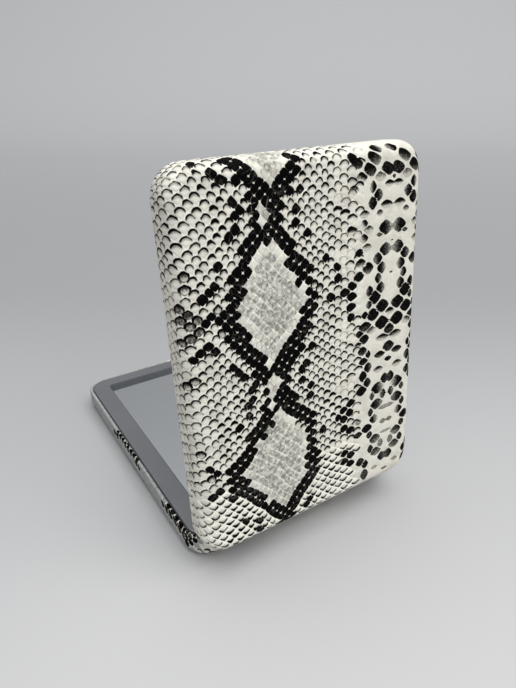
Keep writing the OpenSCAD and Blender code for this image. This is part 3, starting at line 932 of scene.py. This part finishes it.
class PrintedLeather(Finish):
    def __init__(self):
        super().__init__("printed_leather")
        self.s, self.t, self.thick = self.facts("scale")
        self.blot_width, self.pale, self.crescent = self.facts("tone")
        self.spot_x, self.spot_y, self.spot_ink = self.facts("spot")
        self.upright, self.gap = self.fact("upright"), self.fact("gap")
        self.hide = self.place()
        self.grain = self.noise(self.hide, PORES, 3.0)
        self.fine = self.noise(self.hide, FINEST, 2.0)
        self.cloud = self.noise(self.hide, SMUDGES, 2.0)
        self.crinkle = self.step(self.noise(self.hide, CRINKLES, 3.0, 0.65), 0.36, 0.64)
        self.ragged = self.times(self.less(self.grain, 0.5), 0.34)
        self.ring = self.less(self.crescent, 1.0, clamp=True)
        self.strength = self.calc("MINIMUM", self.crescent, 1.0)
        oval = self.outline(self.s, self.upright, 2.1, 0.74, 0.86)
        self.oval = self.plus(oval, self.times(self.ragged, 1.2))

    def outline(self, x, y, power, width=1.0, height=1.0):
        """0 in the middle and 1 at the edge of an outline: a diamond with power 1, an oval with
        power 2, and a rounded diamond between them."""
        x = self.calc("POWER", self.calc("ABSOLUTE", self.calc("DIVIDE", x, width)), power)
        y = self.calc("POWER", self.calc("ABSOLUTE", self.calc("DIVIDE", y, height)), power)
        return self.calc("POWER", self.plus(x, y), 1 / power)


# %% [markdown]
# Most scales carry a crescent: what one oval covers, and a narrower one that is moved down
# leaves free. Its inner side is hazy with grain. Some scales carry a ring instead.

# %% Crescents and rings
def crescent_ink(f):
    """The crescent, and the haze inside it."""
    # each lies a little to one side, by a number that its thickness gives
    aside = f.calc("FRACT", f.times(f.thick, 7.3))
    x = f.plus(f.s, f.scaled(aside, 0.18, -0.09))
    shaken = f.times(f.ragged, 0.55)
    outer = f.plus(f.outline(x, f.upright, 2.1, 0.67, 0.86), shaken)
    moved = f.times(f.scaled(f.calc("POWER", f.thick, 3.0), 0.34, 0.22), f.strength)
    inner = f.plus(f.outline(x, f.plus(f.upright, moved), 2.0, 0.54, 0.80), shaken)
    within = f.times(f.fall(outer, 0.92, 1.02), f.step(f.upright, -0.25, 0.25))
    shown = f.times(f.step(f.strength, 0.0, 0.5), f.scaled(f.strength, 0.3, 0.7))
    arch = f.times(within, f.step(inner, 0.78, 1.0), shown)
    haze = f.times(within, f.step(inner, 0.25, 0.98), f.strength)
    return arch, f.times(haze, f.scaled(f.grain, 0.62, 0.12))


def ring_ink(f):
    """Dark all round, most at the top, with a shorter arc in the middle. A few are all dark."""
    eye = f.times(f.step(f.scaled(f.upright, 0.32, f.oval), 0.48, 0.66), f.fall(f.oval, 0.95, 1.05))
    eye = f.times(eye, f.scaled(f.step(f.upright, -0.6, 0.0), 0.5, 0.5))
    off_arc = f.calc("ABSOLUTE", f.less(f.plus(f.oval, f.ragged), 0.32))
    arc = f.times(f.fall(off_arc, 0.05, 0.20), f.step(f.upright, -0.3, 0.25))
    full = f.times(f.fall(f.oval, 0.85, 1.05), f.step(f.thick, 0.95, 1.0))
    return f.larger(eye, f.times(arc, 0.7), f.times(full, f.scaled(f.crinkle, 0.5, 0.2)))


# %% [markdown]
# A scale that is inked whole is parted from its neighbours by a worn seam. Some are worn in
# the middle, and fine cracks cross them in patches. Belly spots are grainy where they fade.

# %% Whole black scales and belly spots
def blot_ink(f):
    body = f.outline(f.s, f.t, 1.55, f.larger(f.blot_width, 0.01), 0.89)
    body = f.plus(body, f.ragged)
    blot = f.times(f.fall(body, 0.93, 1.05), f.calc("GREATER_THAN", f.blot_width, 0.1))
    seam = f.times(f.step(f.outline(f.s, f.t, 1.0), 0.86, 0.97), f.step(f.grain, 0.36, 0.60))
    hollow = f.times(f.step(f.thick, 0.55, 0.95), f.fall(f.plus(body, f.t), 0.1, 0.75))
    hollow = f.times(hollow, f.step(f.fine, 0.42, 0.60))
    off_crack = f.cells(f.hide, CRACKS, "DISTANCE_TO_EDGE")
    cracks = f.times(f.fall(off_crack, 0.02, 0.07), f.step(f.cloud, 0.46, 0.60))
    scuffed = f.step(f.noise(f.hide, SCUFFS, 1.0), 0.56, 0.68)
    cracks = f.times(cracks, f.scaled(scuffed, 0.2, 0.25))
    worn = f.larger(f.times(hollow, 0.36), f.times(seam, 0.30), cracks)
    return f.times(blot, f.less(1.0, worn))


def spot_ink(f):
    spot = f.plus(f.outline(f.spot_x, f.spot_y, SPOT_POWER), f.times(f.ragged, 0.7))
    ink = f.scaled(f.less(f.fine, 0.5), 0.9, f.spot_ink)
    ink = f.times(ink, f.step(ink, 0.0, 0.3), clamp=True)
    ink = f.larger(ink, f.times(f.grain, 0.24))
    gap = f.plus(f.gap, f.times(f.ragged, 0.4))
    return f.times(f.fall(spot, 0.93, 1.07), ink, f.step(gap, 0.14, 0.34))


# %% [markdown]
# The ground under the ink is cream, smudged, and shaded beige at the free end of each scale.
# In a diamond it is mottled grey, under a pale net that is palest where four scales meet.

# %% Ground under the ink
def scale_ground(f, net):
    shade = f.times(f.fall(net, 0.55, 1.0), f.step(f.upright, -0.7, 0.5))
    shade = f.times(shade, f.scaled(f.cloud, 1.4, -0.15), clamp=True)
    shade = f.times(shade, f.strength)
    ground = f.blend(f.times(f.crinkle, 0.16), CREAM, BEIGE)
    ground = f.blend(f.times(f.step(f.cloud, 0.48, 0.70), 0.30), ground, BEIGE)
    ground = f.blend(f.times(shade, 0.62), ground, BEIGE)
    dull = f.times(f.fall(f.oval, 0.75, 1.05), f.step(f.upright, -1.2, 0.3))
    dull = f.times(dull, f.scaled(f.crinkle, 0.6, 0.3))
    ground = f.blend(f.times(f.ring, dull), ground, RING_DULL)
    # the belly and other places with neither crescents nor diamonds
    bare = f.times(f.fall(f.strength, 0.0, 0.12), f.fall(f.pale, 0.0, 0.1))
    return f.blend(f.times(bare, 0.22), ground, BEIGE)


def diamond_ground(f, net, ground):
    crossed = f.times(f.s, f.t)
    knot = f.less(1.0, f.times(f.calc("ABSOLUTE", crossed), 4.0), clamp=True)
    thread = f.step(f.plus(net, f.times(f.ragged, 2.0)), 0.66, 0.92)
    one_way = f.times(f.step(crossed, -0.1, 0.1), 0.35)
    thread = f.times(thread, f.plus(f.scaled(knot, 0.35, 0.30), one_way))
    mottle = f.times(f.scaled(f.crinkle, 0.68, 0.33), f.less(1.0, thread))
    ground = f.blend(f.times(f.pale, mottle, clamp=True), ground, GREY)
    # plain places of the base's walls: a grey that is partly print and partly painted shade
    wall_shade = f.step(f.pale, 1.0, PLAIN_SHADED)
    return f.blend(f.times(wall_shade, 0.85), ground, WALL_GREY_AND_SHADE)


# %% Leather finish
def leather_finish():
    f = PrintedLeather()
    arch, haze = crescent_ink(f)
    arch = f.larger(f.times(arch, f.less(1.0, f.ring)), f.times(ring_ink(f), f.ring))
    blot, spot = blot_ink(f), spot_ink(f)
    ink = f.larger(arch, blot, spot, haze)
    ink = f.times(ink, f.scaled(f.step(f.fine, 0.28, 0.42), 0.08, 0.92))
    # thin ink already looks dark
    ink = f.less(1.0, f.calc("POWER", f.less(1.0, ink), 2.2))
    dye = f.blend(f.step(f.larger(f.strength, blot, spot), 0.25, 0.75), BROWN, INK)
    net = f.outline(f.s, f.t, 1.15)
    ground = diamond_ground(f, net, scale_ground(f, net))
    wrinkle = f.cells(f.hide, WRINKLES, "SMOOTH_F1")
    relief = f.bump(wrinkle, 0.05 * MM, f.bump(f.fine, 0.03 * MM))
    f.set(Base_Color=f.blend(ink, ground, dye), Roughness=f.scaled(f.grain, 0.16, 0.42))
    f.set(Normal=relief, Specular_IOR_Level=0.06, IOR=1.3)
    print("printed leather:", len(f.tree.nodes), "nodes")
    return f.material


leather = leather_finish()
for skin in (cover_skin, base_skin):
    dress(skin, leather)

# %% [markdown]
# ## Foam under the leather
# A thin sheet of foam pads each face. It starts as a cube at the size of its space, its sides
# are rounded, its faces are divided, and the middle is left a little fuller than the edges.

# %% Foam sheets
def make_foam(name, cover):
    middle = LEATHER_T + FOAM_T / 2
    size = (2 * CORE_W, 2 * CORE_L, FOAM_T)
    bpy.ops.object.select_all(action="DESELECT")
    bpy.ops.mesh.primitive_cube_add(size=1, location=(0, 0, middle), scale=size)
    piece = bpy.context.object
    piece.name = piece.data.name = name
    bpy.ops.object.transform_apply(location=True, rotation=False, scale=True)
    heights = points_of(piece.data)[ends_of(piece.data), 2]
    choose(piece, "EDGE", np.ptp(heights, axis=1) > FOAM_T / 2)
    bpy.ops.mesh.bevel(offset=CORE_R, segments=6, affect="EDGES")
    end_edit()
    upright = np.array([face.normal.z for face in piece.data.polygons])
    choose(piece, "FACE", np.abs(upright) > 0.9)
    # rings near the border, closer together outwards
    for inset in (0.3, 0.9, 1.9):
        bpy.ops.mesh.inset(thickness=inset)
    end_edit()
    points = points_of(piece.data)
    far = beyond_core(points[:, 0], points[:, 1])[0]
    full = 1 - 0.35 * np.exp(-np.clip(-far, 0, None) / 0.5)
    points[:, 2] = middle + (points[:, 2] - middle) * 0.97 * full
    set_points(piece.data, points)
    seat(piece, cover)
    bpy.ops.object.shade_smooth_by_angle(angle=math.radians(50))
    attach(piece, "cover" if cover else "base")
    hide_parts("cover_foam" if cover else "base_foam")
    print(name, len(piece.data.polygons), "faces")
    return piece


foams = [make_foam("cover_padding", True), make_foam("base_padding", False)]


# %% Foam finish
def foam_finish():
    f = Finish("open_foam")
    cells = f.cells(f.place(), 2200.0)
    colour = f.blend(f.step(cells, 0.1, 0.7), (0.66, 0.66, 0.62), (0.50, 0.50, 0.47))
    f.set(Base_Color=colour, Roughness=0.95, Normal=f.bump(cells, 0.2 * MM))
    return f.material


for piece in foams:
    dress(piece, foam_finish())

# %% [markdown]
# ## Frames, trays, mirrors, pads, magnets and pins
# These keep their CAD shapes. Each gets the finish of its real material, and the frames also a
# painted shade on the walls of their recess.

# %% Frame finish
FRAME_DARK, FRAME_LIGHT = (0.195, 0.20, 0.212), (0.235, 0.24, 0.252)
# a dark painted shade for the walls of the recess
FRAME_WALL_SHADE = (0.09, 0.095, 0.10)


def frame_finish(name, facing):
    """Satin silver on the face that looks this way, and a dark painted shade on the walls of the
    recess, where the metal is also duller.
    """
    f = Finish(name)
    place = f.place()
    square_on = f.calc("ABSOLUTE", f.along(f.add("TexCoord").outputs["Normal"], facing))
    # the walls of the recess, which get the painted shade
    wall = f.fall(square_on, 0.85, 0.97)
    face = f.blend(f.noise(place, 60.0, 3.0), FRAME_DARK, FRAME_LIGHT)
    grain = f.noise(place, 5000.0, 2.0)
    rough = f.plus(f.scaled(grain, 0.10, 0.30), f.times(wall, 0.40))
    f.set(Base_Color=f.blend(wall, face, FRAME_WALL_SHADE), Metallic=f.scaled(wall, -0.6, 0.6))
    f.set(Roughness=rough, Normal=f.bump(grain, 0.01 * MM), Specular_IOR_Level=0.1)
    return f.material


# %% Tray, mirror and pad finishes
def tray_finish():
    f = Finish("moulded_black")
    place = f.place()
    grain = f.noise(place, 3000.0, 3.0)
    f.set(Base_Color=f.blend(f.noise(place, 200.0), (0.015, 0.015, 0.017), (0.03, 0.03, 0.032)))
    f.set(Roughness=f.scaled(grain, 0.2, 0.5), Normal=f.bump(grain, 0.04 * MM))
    return f.material


def mirror_finish():
    """Clean silvered glass with a few smears and specks of dust."""
    f = Finish("silvered_glass")
    place = f.place()
    smear = f.step(f.noise(place, 55.0, 4.0, 0.6), 0.50, 0.75)
    dust = f.step(f.noise(place, 4200.0, 1.0), 0.72, 0.78)
    f.set(Base_Color=f.blend(dust, (0.97, 0.985, 0.98), (0.7, 0.7, 0.7)), Metallic=1.0)
    f.set(Roughness=f.plus(f.scaled(smear, 0.05, 0.02), f.times(dust, 0.3)))
    return f.material


def pad_finish():
    f = Finish("foam_tape")
    pores = f.noise(f.place(), 1500.0, 3.0)
    f.set(Base_Color=f.blend(pores, (0.70, 0.70, 0.67), (0.80, 0.80, 0.78)), Roughness=0.9)
    f.set(Normal=f.bump(pores, 0.1 * MM))
    return f.material


# %% Steel finish
def steel_finish(name, colour, stretch):
    """Metal with brush marks: a noise that is stretched along the marks."""
    f = Finish(name)
    stretched = f.add("Mapping", {"Vector": f.place(), "Scale": stretch}).outputs[0]
    brush = f.noise(stretched, 1.0, 3.0)
    darker = tuple(0.8 * part for part in colour)
    f.set(Base_Color=f.blend(brush, colour, darker), Metallic=1.0)
    f.set(Roughness=f.scaled(brush, 0.15, 0.22), Normal=f.bump(brush, 0.01 * MM))
    return f.material


# %% Dressing the carried-over pieces
base_facing = Vector((0, 0, 1))
cover_facing = Vector((0, math.sin(OPEN_ANGLE), -math.cos(OPEN_ANGLE)))
black_plastic, glass, tape = tray_finish(), mirror_finish(), pad_finish()
pin_steel = steel_finish("drawn_steel", (0.55, 0.55, 0.57), (200.0, 6000.0, 6000.0))
magnet_nickel = steel_finish("nickel_plate", (0.58, 0.57, 0.55), (2500.0, 400.0, 2500.0))
finish_of = {"tray": black_plastic, "mirror_pad": tape, "mirror": glass,
             "magnet_left": magnet_nickel, "magnet_right": magnet_nickel}
for leaf in ("base", "cover"):
    for part, finish in finish_of.items():
        dress(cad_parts[f"{leaf}_{part}"], finish)
dress(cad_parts["base_frame"], frame_finish("base_silver", base_facing))
dress(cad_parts["cover_frame"], frame_finish("cover_silver", cover_facing))
for side in ("left", "right"):
    dress(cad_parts[f"hinge_pin_{side}"], pin_steel)
print("dressed", 2 * len(finish_of) + 4, "carried-over pieces")

# %% [markdown]
# ## Stage and light
# The mirror stands on a pale table with a pale wall behind, under a wide soft light from the
# right front and a weaker one from above. The left stays in shade. Table and wall are one
# plane, whose far edge is drawn up and whose fold is rounded.

# %% Table finish
VIEW = Vector((CAMERA_LOOK.x, CAMERA_LOOK.y, 0)).normalized()
# the paper's colour in front; the darker paper colours are painted shade
PAPER_FRONT, PAPER_UNDER_SHADE = (0.46, 0.461, 0.463), (0.28, 0.284, 0.29)
PAPER_BACK_SHADE, PAPER_HIGH_SHADE = (0.395, 0.401, 0.409), (0.252, 0.258, 0.268)
# the paper's colour in the painted shadow to the left of the base
PAPER_LEFT_SHADOW = (0.27, 0.276, 0.29)


def table_finish():
    """Pale paper, lighter in front, with painted shade: darker just behind the mirror's front, a
    little darker where the table turns up behind and up the wall, and a painted shadow to the left.
    """
    f = Finish("pale_paper_painted_shade")
    place = f.place()
    away, aside = f.along(place, VIEW), f.along(place, Vector((VIEW.y, -VIEW.x, 0)))
    high = f.along(place, Vector((0, 0, 1)))
    # painted shade under and behind the mirror, and up the wall
    front = f.blend(f.step(away, -0.11, 0.13), PAPER_FRONT, PAPER_UNDER_SHADE)
    paper = f.blend(f.step(away, 0.12, 0.85), front, PAPER_BACK_SHADE)
    paper = f.blend(f.step(high, 0.20, 0.45), paper, PAPER_HIGH_SHADE)
    # a painted shadow on the table to the left of the base
    left = f.times(f.fall(aside, -0.09, -0.01), f.fall(away, -0.05, 0.10))
    paper = f.blend(f.times(left, 0.3), paper, PAPER_LEFT_SHADOW)
    f.set(Base_Color=paper, Roughness=0.9, Specular_IOR_Level=0.1)
    f.set(Normal=f.bump(f.noise(place, 1500.0, 2.0), 0.02 * MM))
    return f.material


# %% Table and wall, in metres
TABLE, TABLE_Y, WALL_HEIGHT, FOLD_R = 4.0, -1.0, 2.0, 0.45


def choose_fold(table):
    """Selects the edge where the wall rises from the table."""
    ends = points_of(table.data)[ends_of(table.data)]
    choose(table, "EDGE", ((ends[..., 1] > 0) & (ends[..., 2] < FOLD_R)).all(axis=1))


def make_table():
    bpy.ops.object.select_all(action="DESELECT")
    bpy.ops.mesh.primitive_plane_add(size=TABLE, location=(0, TABLE_Y, 0))
    table = bpy.context.object
    table.name = "table"
    bpy.ops.object.transform_apply(location=True, rotation=False, scale=True)
    choose_fold(table)
    bpy.ops.mesh.extrude_region_move(TRANSFORM_OT_translate={"value": (0, 0, WALL_HEIGHT)})
    end_edit()
    choose_fold(table)
    bpy.ops.mesh.bevel(offset=FOLD_R, segments=24, affect="EDGES")
    end_edit()
    table.rotation_euler.z = -math.atan2(VIEW.x, VIEW.y)
    bpy.ops.object.transform_apply(location=True, rotation=True, scale=True)
    bpy.ops.object.shade_smooth_by_angle(angle=math.radians(30))
    dress(table, table_finish())
    print("table with", len(table.data.polygons), "faces")


make_table()


# %% Lamps and surroundings, in metres and watts
LAMP_AIM = Vector((0, 0, 0.04))


def lamp(name, place, size, power, colour):
    """A round soft light, turned towards the mirror."""
    bpy.ops.object.light_add(type="AREA", location=place)
    light = bpy.context.object
    light.name = name
    light.data.shape, light.data.size = "DISK", size
    light.data.energy, light.data.color = power, colour
    light.rotation_euler = (LAMP_AIM - Vector(place)).to_track_quat("-Z", "Y").to_euler()
    print(name, power, "W")


lamp("front_light", (0.30, -1.05, 1.6), 2.0, 29.5, (1.0, 0.985, 0.965))
lamp("top_light", (0.0, 0.0, 1.4), 1.7, 16.5, (1.0, 1.0, 1.0))
scene = bpy.context.scene
scene.world = bpy.data.worlds.new("studio")
scene.world.use_nodes = True
surroundings = scene.world.node_tree.nodes["Background"]
surroundings.inputs["Color"].default_value = (0.93, 0.955, 1.0, 1)
surroundings.inputs["Strength"].default_value = 0.40
scene.view_settings.view_transform = "Standard"
